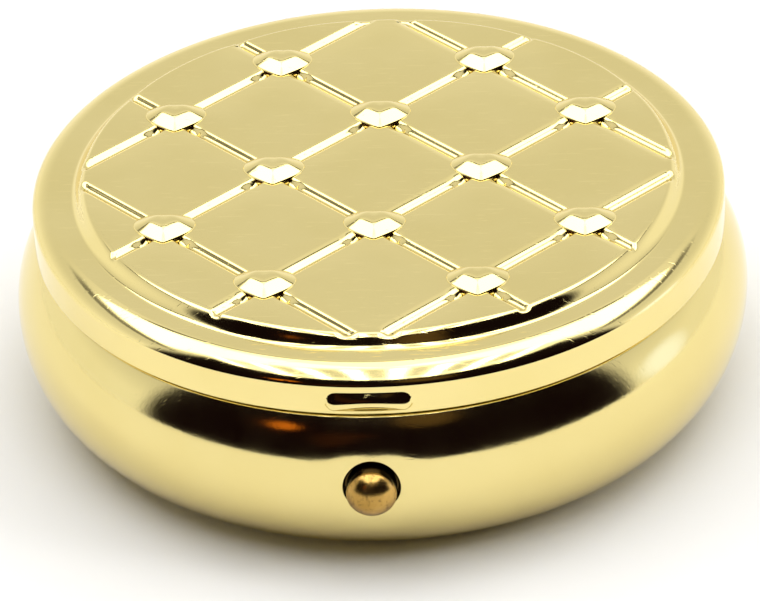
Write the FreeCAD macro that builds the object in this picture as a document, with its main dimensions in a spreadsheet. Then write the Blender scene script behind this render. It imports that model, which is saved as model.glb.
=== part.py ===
import FreeCAD, Part
import math
import os

# Round gold push-button pill box.
# Frame: origin at the centre of the flat underside, +Z up, -Y the front with
# the button, +Y the rear with the hinge. Lengths are in millimetres.

Vec = FreeCAD.Vector
doc = FreeCAD.newDocument("PillBox")

# ---------------------------------------------------------------- dimensions
DIMS = [
    # base pan
    ("belly_radius", 25.0), ("belly_height", 7.25), ("foot_radius", 18.9),
    ("base_wall", 0.5), ("shoulder_centre", 18.16), ("neck_angle_radius", 23.24),
    ("neck_radius", 23.09), ("neck_bore", 22.75), ("neck_height", 11.9),
    ("foot_groove_inner", 15.0), ("foot_groove_outer", 15.6), ("foot_groove_depth", 0.22),
    # button opening
    ("button_axis_height", 7.25), ("button_hole_radius", 1.78),
    # button
    ("button_radius", 1.6), ("button_edge", 25.59), ("button_tip", 26.62),
    ("flange_radius", 2.2), ("flange_front", 23.95), ("flange_back", 23.55),
    ("shank_radius", 0.6), ("shank_end", 22.55), ("peen_radius", 0.9), ("peen_end", 22.3),
    # collar
    ("collar_inner", 22.35), ("collar_bottom", 9.6), ("collar_top", 13.9),
    ("collar_front_half", 2.4), ("collar_front_sill", 12.3), ("collar_front_foot", 10.7),
    ("collar_rear_half", 5.2), ("collar_rear_sill", 11.9),
    # tray
    ("tray_radius", 21.8), ("tray_bottom", 0.5), ("tray_top", 13.2), ("tray_wall", 1.0),
    ("tray_floor", 0.9), ("tray_corner", 3.0), ("tray_front_flat", 20.4),
    ("tray_rear_flat", 21.0), ("rib_thickness", 1.0), ("rib_top", 12.6),
    # lid
    ("lid_radius", 23.54), ("lid_wall", 0.45), ("lid_bottom", 12.16), ("rim_height", 15.4),
    ("rim_corner_width", 1.2), ("rim_corner_height", 0.6), ("panel_radius", 20.9),
    ("panel_edge", 19.95), ("panel_height", 16.28), ("panel_underside", 15.6), ("panel_bore", 20.1),
    ("quilt_pitch", 7.058), ("quilt_groove_width", 0.9), ("quilt_groove_depth", 0.33),
    ("stud_top", 16.93), ("stud_half_width", 2.1), ("stud_back", 1.55), ("stud_point", 1.85),
    ("stud_cleft", 0.95), ("stud_crown_radius", 3.8),
    ("bead_half_width", 2.85), ("bead_half_height", 0.745), ("bead_centre_height", 13.21),
    ("bead_centre_radius", 23.35), ("bead_depth", 0.6),
    ("recess_half_width", 2.3), ("recess_bottom", 12.75), ("recess_top", 13.65),
    ("recess_radius", 23.42), ("lid_notch_half", 5.3), ("lid_notch_top", 13.25),
    # mirror
    ("pad_radius", 19.5), ("mirror_radius", 19.9), ("mirror_bottom", 14.45),
    ("mirror_top", 15.35), ("ring_outer", 22.65), ("ring_lip", 19.2), ("ring_bottom", 14.15),
    ("ring_top", 14.95), ("ring_seat", 20.0),
    # hinge
    ("hinge_back", 24.2), ("hinge_height", 12.25), ("knuckle_radius", 0.85),
    ("pin_radius", 0.4), ("pin_half_length", 5.15), ("pin_head_radius", 0.6),
    ("pin_head_thickness", 0.2), ("base_bore", 0.41), ("lid_bore", 0.43),
    ("base_knuckle_inner", 3.25), ("base_knuckle_outer", 4.9),
    ("lid_knuckle_inner", 1.9), ("lid_knuckle_outer", 3.1),
    ("base_leaf_inner", 21.93), ("base_leaf_outer", 22.33), ("base_leaf_bottom", 8.6),
    ("base_leaf_dip", 11.85), ("base_leaf_top", 12.3), ("base_web_bottom", 11.97),
    ("lid_leaf_inner", 22.7), ("lid_leaf_outer", 23.07), ("lid_leaf_bottom", 12.5),
    ("lid_leaf_top", 14.5), ("lid_leaf_half", 3.2), ("lid_leaf_dip", 13.4),
    ("lid_web_bottom", 12.65), ("lid_web_top", 13.1), ("spring_gap_half", 1.8),
    ("rivet_shank", 0.3), ("rivet_hole", 0.32), ("rivet_head", 0.4), ("rivet_head_height", 0.2),
    ("base_rivet_angle", 8.79), ("base_rivet_height", 10.3),
    ("lid_rivet_angle", 5.95), ("lid_rivet_height", 13.7),
    # hinge spring
    ("coil_wire", 0.175), ("coil_radius", 0.68), ("coil_half_length", 1.5), ("coil_turns", 6.0),
    # latch
    ("hook_half_width", 1.9), ("hook_hole", 0.62), ("washer_radius", 1.3),
    ("bow_front", 23.53), ("bow_thickness", 0.25), ("bow_bottom", 5.75), ("bow_height", 3.0),
    ("bow_flat_half", 2.3), ("bow_hole", 0.7),
]
D = dict(DIMS)
sheet = doc.addObject("Spreadsheet::Sheet", "dims")
for row, (word, number) in enumerate(DIMS, start=1):
    sheet.set("A%d" % row, word)
    sheet.set("B%d" % row, repr(number))
    sheet.setAlias("B%d" % row, word)
doc.recompute()


def q(*terms):
    """A length made of sheet cells and fixed steps: its value and its expression."""
    value, text = 0.0, ""
    for term in terms:
        if isinstance(term, str):
            sign = -1.0 if term.startswith("-") else 1.0
            word = term.lstrip("-")
            value += sign * D[word]
            text += (" - " if sign < 0 else " + ") + "dims." + word
        else:
            value += term
            text += (" - " if term < 0 else " + ") + repr(abs(float(term)))
    return value, text.replace(" + ", "", 1) if text.startswith(" + ") else text.strip()


def bind(obj, **sizes):
    """Bind properties of an object to the sheet."""
    for prop, size in sizes.items():
        value, text = size if isinstance(size, tuple) else q(size)
        setattr(obj, prop, value)
        obj.setExpression(prop, text)


def place(obj, x=None, y=None, z=None, turn=None):
    """Placement of a primitive; each given offset is bound to the sheet."""
    rotation = FreeCAD.Rotation(*turn) if turn else FreeCAD.Rotation()
    values = [c[0] if isinstance(c, tuple) else 0.0 for c in (x, y, z)]
    obj.Placement = FreeCAD.Placement(Vec(*values), rotation)
    for axis, c in zip("xyz", (x, y, z)):
        if isinstance(c, tuple):
            obj.setExpression(".Placement.Base." + axis, c[1])
    return obj


# -------------------------------------------------------------- sketch tools
def plane_of(body, role):
    for feature in body.Origin.OriginFeatures:
        if feature.Role == role:
            return feature
    raise RuntimeError(role)


def arc_through(a, m, b):
    """Centre, radius and angles of the arc from a through m to b, counterclockwise."""
    (ax, ay), (mx, my), (bx, by) = a, m, b
    d = 2.0 * (ax * (my - by) + mx * (by - ay) + bx * (ay - my))
    aa, mm, bb = ax * ax + ay * ay, mx * mx + my * my, bx * bx + by * by
    cx = (aa * (my - by) + mm * (by - ay) + bb * (ay - my)) / d
    cy = (aa * (bx - mx) + mm * (ax - bx) + bb * (mx - ax)) / d
    radius = math.hypot(ax - cx, ay - cy)
    t0, t1 = math.atan2(ay - cy, ax - cx), math.atan2(by - cy, bx - cx)
    ccw = (mx - ax) * (by - ay) - (my - ay) * (bx - ax) > 0
    if not ccw:
        t0, t1 = t1, t0
    while t1 <= t0:
        t1 += 2.0 * math.pi
    return (cx, cy), radius, t0, t1, ccw


def draw(sketch, path):
    """Draw a closed outline. Each vertex is a pair of q() lengths bound to the
    sheet; ("arc", x, y) between two vertices names a point the arc passes."""
    import Sketcher

    points = [p for p in path if p[0] != "arc"]
    through = {}
    n = -1
    for p in path:
        if p[0] == "arc":
            through[n] = (p[1], p[2])
        else:
            n += 1
    ends, count = [], len(points)
    first = sketch.GeometryCount
    constraints = []
    for i in range(count):
        a = (points[i][0][0], points[i][1][0])
        b = (points[(i + 1) % count][0][0], points[(i + 1) % count][1][0])
        if i in through:
            centre, radius, t0, t1, ccw = arc_through(a, through[i], b)
            circle = Part.Circle(Vec(centre[0], centre[1], 0), Vec(0, 0, 1), radius)
            sketch.addGeometry(Part.ArcOfCircle(circle, t0, t1), False)
            ends.append((1, 2) if ccw else (2, 1))
            constraints.append(("Radius", first + i, radius))
        else:
            sketch.addGeometry(Part.LineSegment(Vec(a[0], a[1], 0), Vec(b[0], b[1], 0)), False)
            ends.append((1, 2))
    for i in range(count):
        j = (i + 1) % count
        sketch.addConstraint(
            Sketcher.Constraint("Coincident", first + i, ends[i][1], first + j, ends[j][0]))
    for kind, geo, radius in constraints:
        sketch.addConstraint(Sketcher.Constraint(kind, geo, radius))
    for i, (px, py) in enumerate(points):
        geo, pos = first + i, ends[i][0]
        for letter, axis, (value, text) in (("X", -2, px), ("Y", -1, py)):
            if abs(value) < 1e-9:
                sketch.addConstraint(Sketcher.Constraint("PointOnObject", geo, pos, axis))
            else:
                k = sketch.addConstraint(
                    Sketcher.Constraint("Distance" + letter, -1, 1, geo, pos, value))
                word = "p%d%s" % (geo, letter.lower())
                sketch.renameConstraint(k, word)
                sketch.setExpression("Constraints." + word, text)


def body_with(name, role, path):
    body = doc.addObject("PartDesign::Body", name)
    sketch = body.newObject("Sketcher::SketchObject", name + "_outline")
    sketch.AttachmentSupport = (plane_of(body, role), [""])
    sketch.MapMode = "FlatFace"
    draw(sketch, path)
    doc.recompute()
    return body, sketch


def turned(name, path):
    """A body of revolution about Z; the outline is (radius, height)."""
    body, sketch = body_with(name, "XZ_Plane", path)
    turn = body.newObject("PartDesign::Revolution", name + "_turn")
    turn.Profile = sketch
    turn.ReferenceAxis = (sketch, ["V_Axis"])
    turn.Angle = 360.0
    sketch.Visibility = False
    doc.recompute()
    body.Tip = turn
    return body


def padded(name, role, path, length, symmetric=True):
    """A pad of the given length on one of the body's own planes."""
    body, sketch = body_with(name, role, path)
    pad = body.newObject("PartDesign::Pad", name + "_pad")
    pad.Profile = sketch
    bind(pad, Length=length)
    if symmetric:
        pad.SideType = "Symmetric"
    doc.recompute()
    body.Tip = pad
    return body, pad


# ---------------------------------------------------------- primitive tools
def cylinder(name, radius, low, high, turn=None, origin=(None, None), angle=None):
    """A cylinder from low to high along Z; turn lays it along another axis."""
    c = doc.addObject("Part::Cylinder", name)
    bind(c, Radius=radius)
    c.Height = high[0] - low[0]
    c.setExpression("Height", "(%s) - (%s)" % (high[1], low[1]))
    place(c, z=low)
    return c


def rod_x(name, radius, low, high, y, z):
    """A cylinder along X from low to high."""
    c = doc.addObject("Part::Cylinder", name)
    bind(c, Radius=radius)
    c.Height = high[0] - low[0]
    c.setExpression("Height", "(%s) - (%s)" % (high[1], low[1]))
    return place(c, x=low, y=y, z=z, turn=(Vec(0, 1, 0), 90))


def rod_front(name, radius, near, far, z):
    """A cylinder along -Y, from y = -near to y = -far."""
    c = doc.addObject("Part::Cylinder", name)
    bind(c, Radius=radius)
    c.Height = far[0] - near[0]
    c.setExpression("Height", "(%s) - (%s)" % (far[1], near[1]))
    c.Placement = FreeCAD.Placement(Vec(0, -near[0], z[0]), FreeCAD.Rotation(Vec(1, 0, 0), 90))
    c.setExpression(".Placement.Base.y", "-(%s)" % near[1])
    c.setExpression(".Placement.Base.z", z[1])
    return c


def block(name, x, y, z):
    """A box; x, y and z are pairs of (low, high) lengths."""
    b = doc.addObject("Part::Box", name)
    for prop, (low, high) in zip(("Length", "Width", "Height"), (x, y, z)):
        setattr(b, prop, high[0] - low[0])
        b.setExpression(prop, "(%s) - (%s)" % (high[1], low[1]))
    return place(b, x=x[0], y=y[0], z=z[0])


def across(word):
    """The range from minus to plus a half width."""
    return q("-" + word), q(word)


def cut(name, base, tool):
    c = doc.addObject("Part::Cut", name)
    c.Base, c.Tool = base, tool
    return c


def common(name, base, tool):
    c = doc.addObject("Part::Common", name)
    c.Base, c.Tool = base, tool
    return c


def fuse(name, *shapes):
    f = doc.addObject("Part::MultiFuse", name)
    f.Shapes = list(shapes)
    return f


def ring(name, inner, outer, low, high):
    return cut(name, cylinder(name + "_disc", outer, low, high),
               cylinder(name + "_bore", inner, q_step(low, -1.0), q_step(high, 1.0)))


def q_step(length, step):
    return length[0] + step, "%s %s %r" % (length[1], "-" if step < 0 else "+", abs(step))


def quarter(cx, cy, rx, ry, start, end):
    """Points of an ellipse arc: its ends and three points between, in degrees."""
    out = []
    for k in range(5):
        t = math.radians(start + (end - start) * k / 4.0)
        out.append((cx + rx * math.cos(t), cy + ry * math.sin(t)))
    return out


SHOWN = []


def piece(obj, label):
    obj.Label = label
    SHOWN.append(obj)
    return obj


# ---------------------------------------------------------------- base shell
# The pan is drawn from sheet: flat foot, full round belly, a shoulder that
# draws in to the neck. The ellipse-like quarters are pairs of tangent arcs.
wall, belly, foot = D["base_wall"], D["belly_radius"], D["foot_radius"]
low_out = quarter(foot, D["belly_height"], belly - foot, D["belly_height"], -90, 0)
low_in = quarter(foot, D["belly_height"], belly - foot - wall, D["belly_height"] - wall, -90, 0)
sc = D["shoulder_centre"]
so, si = belly - sc, belly - sc - wall
t_neck = math.degrees(math.acos((D["neck_angle_radius"] - sc) / so))
t_bore = math.degrees(math.acos((D["neck_bore"] - sc) / si))
top_out = quarter(sc, D["belly_height"], so, so, 0, t_neck)
top_in = quarter(sc, D["belly_height"], si, si, 0, t_bore)
base_turned = turned("base_pan", [
    (q(0.0), q(0.0)),
    (q("foot_radius"), q(0.0)),
    ("arc", low_out[1][0], low_out[1][1]),
    (q("foot_radius", low_out[2][0] - foot), q("belly_height", low_out[2][1] - D["belly_height"])),
    ("arc", low_out[3][0], low_out[3][1]),
    (q("belly_radius"), q("belly_height")),
    ("arc", top_out[2][0], top_out[2][1]),
    (q("neck_angle_radius"), q("belly_height", top_out[4][1] - D["belly_height"])),
    (q("neck_radius"), q("neck_height")),
    (q("neck_bore"), q("neck_height")),
    (q("neck_bore"), q("belly_height", top_in[4][1] - D["belly_height"])),
    ("arc", top_in[2][0], top_in[2][1]),
    (q("belly_radius", "-base_wall"), q("belly_height")),
    ("arc", low_in[3][0], low_in[3][1]),
    (q("foot_radius", low_in[2][0] - foot), q("belly_height", low_in[2][1] - D["belly_height"])),
    ("arc", low_in[1][0], low_in[1][1]),
    (q("foot_radius"), q("base_wall")),
    (q(0.0), q("base_wall")),
])
button_z = q("button_axis_height")
hole = rod_front("button_hole", q("button_hole_radius"), q("belly_radius", -2.0),
                 q("belly_radius", 2.0), button_z)
foot_groove = ring("foot_groove", q("foot_groove_inner"), q("foot_groove_outer"),
                   q(-1.0), q("foot_groove_depth"))
base_shell = cut("base_shell_solid", base_turned, fuse("base_openings", hole, foot_groove))
piece(base_shell, "base_shell")


# -------------------------------------------------------------------- rivets
def rivet(name, angle_word, sign, height, inner, outer):
    """A radial rivet at the rear: shank with a head at each end."""
    angle = sign * D[angle_word]
    parts = []
    for tag, radius, low, high in (
            ("shank", q("rivet_shank"), q_step(inner, -0.05), q_step(outer, 0.05)),
            ("head", q("rivet_head"), outer, q_step(outer, D["rivet_head_height"])),
            ("foot", q("rivet_head"), q_step(inner, -D["rivet_head_height"]), inner)):
        c = doc.addObject("Part::Cylinder", "%s_%s" % (name, tag))
        bind(c, Radius=radius)
        c.Height = high[0] - low[0]
        c.setExpression("Height", "(%s) - (%s)" % (high[1], low[1]))
        r = math.radians(angle)
        c.Placement = FreeCAD.Placement(
            Vec(low[0] * math.sin(r), low[0] * math.cos(r), height[0]),
            FreeCAD.Rotation(Vec(0, 0, 1), -angle).multiply(FreeCAD.Rotation(Vec(1, 0, 0), -90)))
        parts.append(c)
    return fuse(name, *parts)


def rivet_hole(name, angle_word, sign, height, near, far):
    angle = sign * D[angle_word]
    c = doc.addObject("Part::Cylinder", name)
    bind(c, Radius=q("rivet_hole"))
    c.Height = far - near
    r = math.radians(angle)
    c.Placement = FreeCAD.Placement(
        Vec(near * math.sin(r), near * math.cos(r), height[0]),
        FreeCAD.Rotation(Vec(0, 0, 1), -angle).multiply(FreeCAD.Rotation(Vec(1, 0, 0), -90)))
    return c


# -------------------------------------------------------------------- collar
def collar_holes(tag, word, height):
    return [rivet_hole("%s_rivet_hole_%d" % (tag, k), word, s, height, 20.0, 25.5)
            for k, s in enumerate((-1, 1))]


collar_blank = ring("collar_blank", q("collar_inner"), q("neck_bore"), q("collar_bottom"),
                    q("collar_top"))
collar_cuts = fuse(
    "collar_cuts",
    block("collar_front_notch", across("collar_front_half"), (q(-26.0), q(-18.0)),
          (q("collar_front_sill"), q("collar_top", 1.0))),
    block("collar_front_relief", across("collar_front_half"), (q(-26.0), q(-18.0)),
          (q("collar_bottom", -1.0), q("collar_front_foot"))),
    block("collar_rear_notch", across("collar_rear_half"), (q(18.0), q(26.0)),
          (q("collar_rear_sill"), q("collar_top", 1.0))),
    *collar_holes("collar", "base_rivet_angle", q("base_rivet_height")))
piece(cut("collar_solid", collar_blank, collar_cuts), "collar_ring")

# ---------------------------------------------------------------------- tray
# Moulded tray with three compartments; flats clear the latch and the hinge.
half = math.sqrt(0.5)
corner, tw, tf = D["tray_corner"], D["tray_wall"], D["tray_floor"]
cr, cz = D["tray_radius"] - corner, D["tray_bottom"] + corner
tray_outer = turned("tray_outer", [
    (q(0.0), q("tray_bottom")),
    (q("tray_radius", "-tray_corner"), q("tray_bottom")),
    ("arc", cr + corner * half, cz - corner * half),
    (q("tray_radius"), q("tray_bottom", "tray_corner")),
    (q("tray_radius"), q("tray_top")),
    (q(0.0), q("tray_top")),
])
ic = corner - tw
tray_cavity = turned("tray_cavity", [
    (q(0.0), q("tray_bottom", "tray_floor")),
    (q("tray_radius", "-tray_corner"), q("tray_bottom", "tray_floor")),
    ("arc", cr + ic * half, D["tray_bottom"] + tf + ic - ic * half),
    (q("tray_radius", "-tray_wall"), q("tray_bottom", "tray_floor", ic)),
    (q("tray_radius", "-tray_wall"), q("tray_top", 1.0)),
    (q(0.0), q("tray_top", 1.0)),
])
keep = [
    block("tray_front_wall", (q(-12.0), q(12.0)), (q(-25.0), q("-tray_front_flat", "tray_wall")),
          (q(0.0), q("tray_top", 2.0))),
    block("tray_rear_wall", (q(-12.0), q(12.0)), (q("tray_rear_flat", "-tray_wall"), q(25.0)),
          (q(0.0), q("tray_top", 2.0))),
]
for k, angle in enumerate((90.0, 210.0, 330.0)):
    rib = doc.addObject("Part::Box", "tray_rib_%d" % k)
    rib.Length = 24.0
    bind(rib, Width=q("rib_thickness"))
    rib.Height = D["rib_top"]
    rib.setExpression("Height", "dims.rib_top")
    a = math.radians(angle)
    side = D["rib_thickness"] / 2.0
    rib.Placement = FreeCAD.Placement(Vec(side * math.sin(a), -side * math.cos(a), 0.0),
                                      FreeCAD.Rotation(Vec(0, 0, 1), angle))
    keep.append(rib)
pockets = cut("tray_pockets", tray_cavity, fuse("tray_walls", *keep))
flats = fuse(
    "tray_flats",
    block("tray_front_cut", (q(-12.0), q(12.0)), (q(-25.0), q("-tray_front_flat")),
          (q(0.0), q("tray_top", 2.0))),
    block("tray_rear_cut", (q(-12.0), q(12.0)), (q("tray_rear_flat"), q(25.0)),
          (q(0.0), q("tray_top", 2.0))))
tray = cut("tray_solid", cut("tray_flatted", tray_outer, flats), pockets)
piece(tray, "pill_tray")

# --------------------------------------------------------- hinge, base side
hy, hz = q("hinge_back"), q("hinge_height")


def knuckle(name, sign, low, high, radius_word):
    a, b = (q(low), q(high)) if sign > 0 else (q("-" + high), q("-" + low))
    return rod_x(name, q(radius_word), a, b, hy, hz)


base_leaf = common(
    "base_leaf",
    ring("base_leaf_ring", q("base_leaf_inner"), q("base_leaf_outer"), q("base_leaf_bottom"),
         q("base_leaf_top")),
    block("base_leaf_span", across("base_knuckle_outer"), (q(15.0), q(24.0)),
          (q("base_leaf_bottom", -1.0), q("base_leaf_top", 1.0))))
base_webs = [
    block("base_web_%d" % k, x, (q(21.0), hy), (q("base_web_bottom"), q("base_leaf_top")))
    for k, x in enumerate(((q("base_knuckle_inner"), q("base_knuckle_outer")),
                           (q("-base_knuckle_outer"), q("-base_knuckle_inner"))))]
base_hinge = fuse("base_hinge_blank", base_leaf, *base_webs,
                  knuckle("base_knuckle_r", 1, "base_knuckle_inner", "base_knuckle_outer",
                          "knuckle_radius"),
                  knuckle("base_knuckle_l", -1, "base_knuckle_inner", "base_knuckle_outer",
                          "knuckle_radius"))
base_hinge_cuts = fuse(
    "base_hinge_cuts",
    block("base_leaf_gap", across("base_knuckle_inner"), (q(15.0), q(23.0)),
          (q("base_leaf_dip"), q("base_leaf_top", 1.0))),
    cylinder("base_leaf_bore", q("base_leaf_inner"), q("base_leaf_bottom", -1.0),
             q("base_leaf_top", 1.0)),
    rod_x("base_pin_bore", q("base_bore"), q(-7.0), q(7.0), hy, hz),
    *collar_holes("base_leaf", "base_rivet_angle", q("base_rivet_height")))
piece(cut("base_hinge_solid", base_hinge, base_hinge_cuts), "base_hinge_plate")
piece(fuse("base_rivet_pair",
           rivet("base_rivet_r", "base_rivet_angle", 1, q("base_rivet_height"),
                 q("base_leaf_inner", -0.008), q("neck_bore", 0.008)),
           rivet("base_rivet_l", "base_rivet_angle", -1, q("base_rivet_height"),
                 q("base_leaf_inner", -0.008), q("neck_bore", 0.008))), "base_hinge_rivets")
piece(fuse(
    "pin_solid",
    rod_x("pin_rod", q("pin_radius"), q("-pin_half_length"), q("pin_half_length"), hy, hz),
    rod_x("pin_head_r", q("pin_head_radius"), q("pin_half_length", "-pin_head_thickness"),
          q("pin_half_length"), hy, hz),
    rod_x("pin_head_l", q("pin_head_radius"), q("-pin_half_length"),
          q("-pin_half_length", "pin_head_thickness"), hy, hz)), "hinge_pin")

# ---------------------------------------------------------- hinge, lid side
lid_leaf = common(
    "lid_leaf",
    ring("lid_leaf_ring", q("lid_leaf_inner"), q("lid_leaf_outer"), q("lid_leaf_bottom"),
         q("lid_leaf_top")),
    block("lid_leaf_span", across("lid_leaf_half"), (q(15.0), q(24.0)),
          (q("lid_leaf_bottom", -1.0), q("lid_leaf_top", 1.0))))
lid_webs = [
    block("lid_web_%d" % k, x, (q("lid_leaf_inner", 0.03), hy),
          (q("lid_web_bottom"), q("lid_web_top")))
    for k, x in enumerate(((q("lid_knuckle_inner"), q("lid_knuckle_outer")),
                           (q("-lid_knuckle_outer"), q("-lid_knuckle_inner"))))]
lid_hinge = fuse("lid_hinge_blank", lid_leaf, *lid_webs,
                 knuckle("lid_knuckle_r", 1, "lid_knuckle_inner", "lid_knuckle_outer",
                         "knuckle_radius"),
                 knuckle("lid_knuckle_l", -1, "lid_knuckle_inner", "lid_knuckle_outer",
                         "knuckle_radius"))
lid_hinge_cuts = fuse(
    "lid_hinge_cuts",
    block("lid_leaf_gap", across("spring_gap_half"), (q(15.0), q(23.3)),
          (q("lid_leaf_bottom", -1.0), q("lid_leaf_dip"))),
    rod_x("lid_pin_bore", q("lid_bore"), q(-7.0), q(7.0), hy, hz),
    *collar_holes("lid_leaf", "lid_rivet_angle", q("lid_rivet_height")))
piece(cut("lid_hinge_solid", lid_hinge, lid_hinge_cuts), "lid_hinge_plate")
piece(fuse("lid_rivet_pair",
           rivet("lid_rivet_r", "lid_rivet_angle", 1, q("lid_rivet_height"),
                 q("lid_leaf_inner", -0.008), q("lid_radius", 0.008)),
           rivet("lid_rivet_l", "lid_rivet_angle", -1, q("lid_rivet_height"),
                 q("lid_leaf_inner", -0.008), q("lid_radius", 0.008))), "lid_hinge_rivets")

# -------------------------------------------------------------- hinge spring
# Torsion coil round the pin: one leg under the collar notch, one up the lid.
wire, coil, reach = D["coil_wire"], D["coil_radius"], D["coil_half_length"]
yb, zb = D["hinge_back"], D["hinge_height"]
helix = Part.makeHelix(2.0 * reach / D["coil_turns"], 2.0 * reach, coil)
start = Part.Wire([Part.makeCircle(wire, Vec(coil, 0, 0), Vec(0, 1, 0))])
coil_solid = Part.Wire(helix.Edges).makePipeShell([start], True, True)
coil_solid.rotate(Vec(0, 0, 0), Vec(0, 1, 0), 90)
coil_solid.translate(Vec(-reach, yb, zb))


def bar(a, b):
    a, b = Vec(*a), Vec(*b)
    return Part.makeCylinder(wire, (b - a).Length, a, b - a)


base_leg = [(reach, yb, zb - coil), (reach, yb - 0.49, zb - 0.49), (reach, yb - 0.66, zb - 0.13),
            (reach, 21.7, 12.12)]
lid_leg = [(-reach, yb, zb - coil), (-reach, yb - 0.49, zb - 0.49), (-reach, yb - 0.68, zb),
           (-reach, yb - 0.52, zb + 0.46), (-reach, 23.1, 12.97), (-reach, 22.36, 13.35),
           (-reach, 22.3, 13.95)]
solid = coil_solid
for leg in (base_leg, lid_leg):
    for a, b in zip(leg, leg[1:]):
        solid = solid.fuse(bar(a, b))
        solid = solid.fuse(Part.makeSphere(wire, Vec(*b)))
spring = doc.addObject("Part::Feature", "hinge_spring_solid")
spring.Shape = solid.Solids[0] if len(solid.Solids) == 1 else solid
spring.Placement = FreeCAD.Placement()
piece(spring, "hinge_spring")

# ----------------------------------------------------------------- lid shell
rw, rh = D["rim_corner_width"], D["rim_corner_height"]
rim_c = (D["lid_radius"] - rw, D["rim_height"] - rh)
rim_arc = quarter(rim_c[0], rim_c[1], rw, rh, 0, 90)
lid_turned = turned("lid_cap", [
    (q("lid_radius"), q("lid_bottom")),
    (q("lid_radius"), q("rim_height", "-rim_corner_height")),
    ("arc", rim_arc[1][0], rim_arc[1][1]),
    (q("lid_radius", rim_arc[2][0] - D["lid_radius"]), q("rim_height", rim_arc[2][1] - D["rim_height"])),
    ("arc", rim_arc[3][0], rim_arc[3][1]),
    (q("lid_radius", "-rim_corner_width"), q("rim_height")),
    (q("panel_radius"), q("rim_height")),
    (q("panel_edge"), q("panel_height")),
    (q(0.0), q("panel_height")),
    (q(0.0), q("panel_underside")),
    (q("panel_bore"), q("panel_underside")),
    (q("panel_bore"), q("rim_height", "-lid_wall")),
    (q("lid_radius", "-rim_corner_width", 0.06), q("rim_height", "-lid_wall")),
    ("arc", D["lid_radius"] - 0.64, D["rim_height"] - 0.56),
    (q("lid_radius", "-lid_wall"), q("rim_height", -0.85)),
    (q("lid_radius", "-lid_wall"), q("lid_bottom")),
])
# quilting: straight grooves at 45 degrees, one and three pitches off centre
grooves = []
for k, (turn, step) in enumerate((t, s) for t in (45.0, 135.0) for s in (-3, -1, 1, 3)):
    g = doc.addObject("Part::Box", "quilt_groove_%d" % k)
    g.Length = 60.0
    bind(g, Width=q("quilt_groove_width"))
    g.Height = 2.0
    a = math.radians(turn)
    off = step * D["quilt_pitch"] / math.sqrt(2.0) - D["quilt_groove_width"] / 2.0
    g.Placement = FreeCAD.Placement(
        Vec(-30.0 * math.cos(a) - off * math.sin(a), -30.0 * math.sin(a) + off * math.cos(a),
            D["panel_height"] - D["quilt_groove_depth"]),
        FreeCAD.Rotation(Vec(0, 0, 1), turn))
    g.setExpression(".Placement.Base.z", "dims.panel_height - dims.quilt_groove_depth")
    grooves.append(g)
groove_zone = cylinder("quilt_zone", q("panel_radius", 1.0), q("rim_height", 0.25),
                       q("panel_height", 1.0))
quilt_cuts = common("quilt_cuts", fuse("quilt_grooves", *grooves), groove_zone)

# heart studs where the grooves cross, cleft to the rear, point to the front
w, back, point, cleft = (D["stud_half_width"], D["stud_back"], D["stud_point"], D["stud_cleft"])
heart, heart_pad = padded("heart_stud", "XY_Plane", [
    (q(0.0), q("-stud_point")),
    ("arc", w * 0.69, -point * 0.18),
    (q("stud_half_width"), q(0.62)),
    ("arc", w * 0.52, back),
    (q(0.0), q("stud_cleft")),
    ("arc", -w * 0.52, back),
    (q("-stud_half_width"), q(0.62)),
    ("arc", -w * 0.69, -point * 0.18),
], q("stud_top", "-panel_underside", 0.2), symmetric=False)
place(heart, z=q("panel_underside", 0.3))
crown = doc.addObject("Part::Sphere", "stud_crown")
bind(crown, Radius=q("stud_crown_radius"))
place(crown, z=q("stud_top", "-stud_crown_radius"))
heart_domed = common("heart_stud_domed", heart, crown)
doc.recompute()
hearts = []
pitch = D["quilt_pitch"]
for i, j in ((0, -1), (0, 1), (-1, 0), (1, 0), (-1, -2), (-1, 2), (1, -2), (1, 2),
             (-2, -1), (-2, 1), (2, -1), (2, 1)):
    stud = doc.addObject("Part::Compound", "stud_%d_%d" % (i + 3, j + 3))
    stud.Links = [heart_domed]
    stud.Placement = FreeCAD.Placement(Vec(i * pitch, j * pitch, 0), FreeCAD.Rotation())
    stud.setExpression(".Placement.Base.x", "%d * dims.quilt_pitch" % i)
    stud.setExpression(".Placement.Base.y", "%d * dims.quilt_pitch" % j)
    hearts.append(stud)

# oblong bead pressed out at the front: its hollow takes the latch beak
bead = doc.addObject("Part::Ellipsoid", "latch_bead")
bind(bead, Radius1=q("bead_half_height"), Radius2=q("bead_depth"), Radius3=q("bead_half_width"))
bead.Angle1, bead.Angle2, bead.Angle3 = -90.0, 90.0, 360.0
bead.Placement = FreeCAD.Placement(Vec(0, -D["bead_centre_radius"], D["bead_centre_height"]),
                                   FreeCAD.Rotation(Vec(0, 0, 1), 90))
bead.setExpression(".Placement.Base.y", "-dims.bead_centre_radius")
bead.setExpression(".Placement.Base.z", "dims.bead_centre_height")
recess = common(
    "latch_recess",
    cylinder("recess_disc", q("recess_radius"), q("recess_bottom"), q("recess_top")),
    block("recess_span", across("recess_half_width"), (q(-25.0), q(-18.0)),
          (q("recess_bottom", -1.0), q("recess_top", 1.0))))
inner_trim = cylinder("lid_inner_trim", q("lid_radius", "-lid_wall"), q("lid_bottom", -1.0),
                      q("rim_height", -0.85))
notch = block("lid_rear_notch", across("lid_notch_half"), (q(18.0), q(26.0)),
              (q("lid_bottom", -1.0), q("lid_notch_top")))
quilted = cut("lid_quilted", lid_turned, quilt_cuts)
lid_full = fuse("lid_full", quilted, *hearts, cut("bead_outside", bead, inner_trim))
lid_cuts = fuse("lid_cuts", recess, notch,
                *collar_holes("lid_wall", "lid_rivet_angle", q("lid_rivet_height")))
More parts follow.
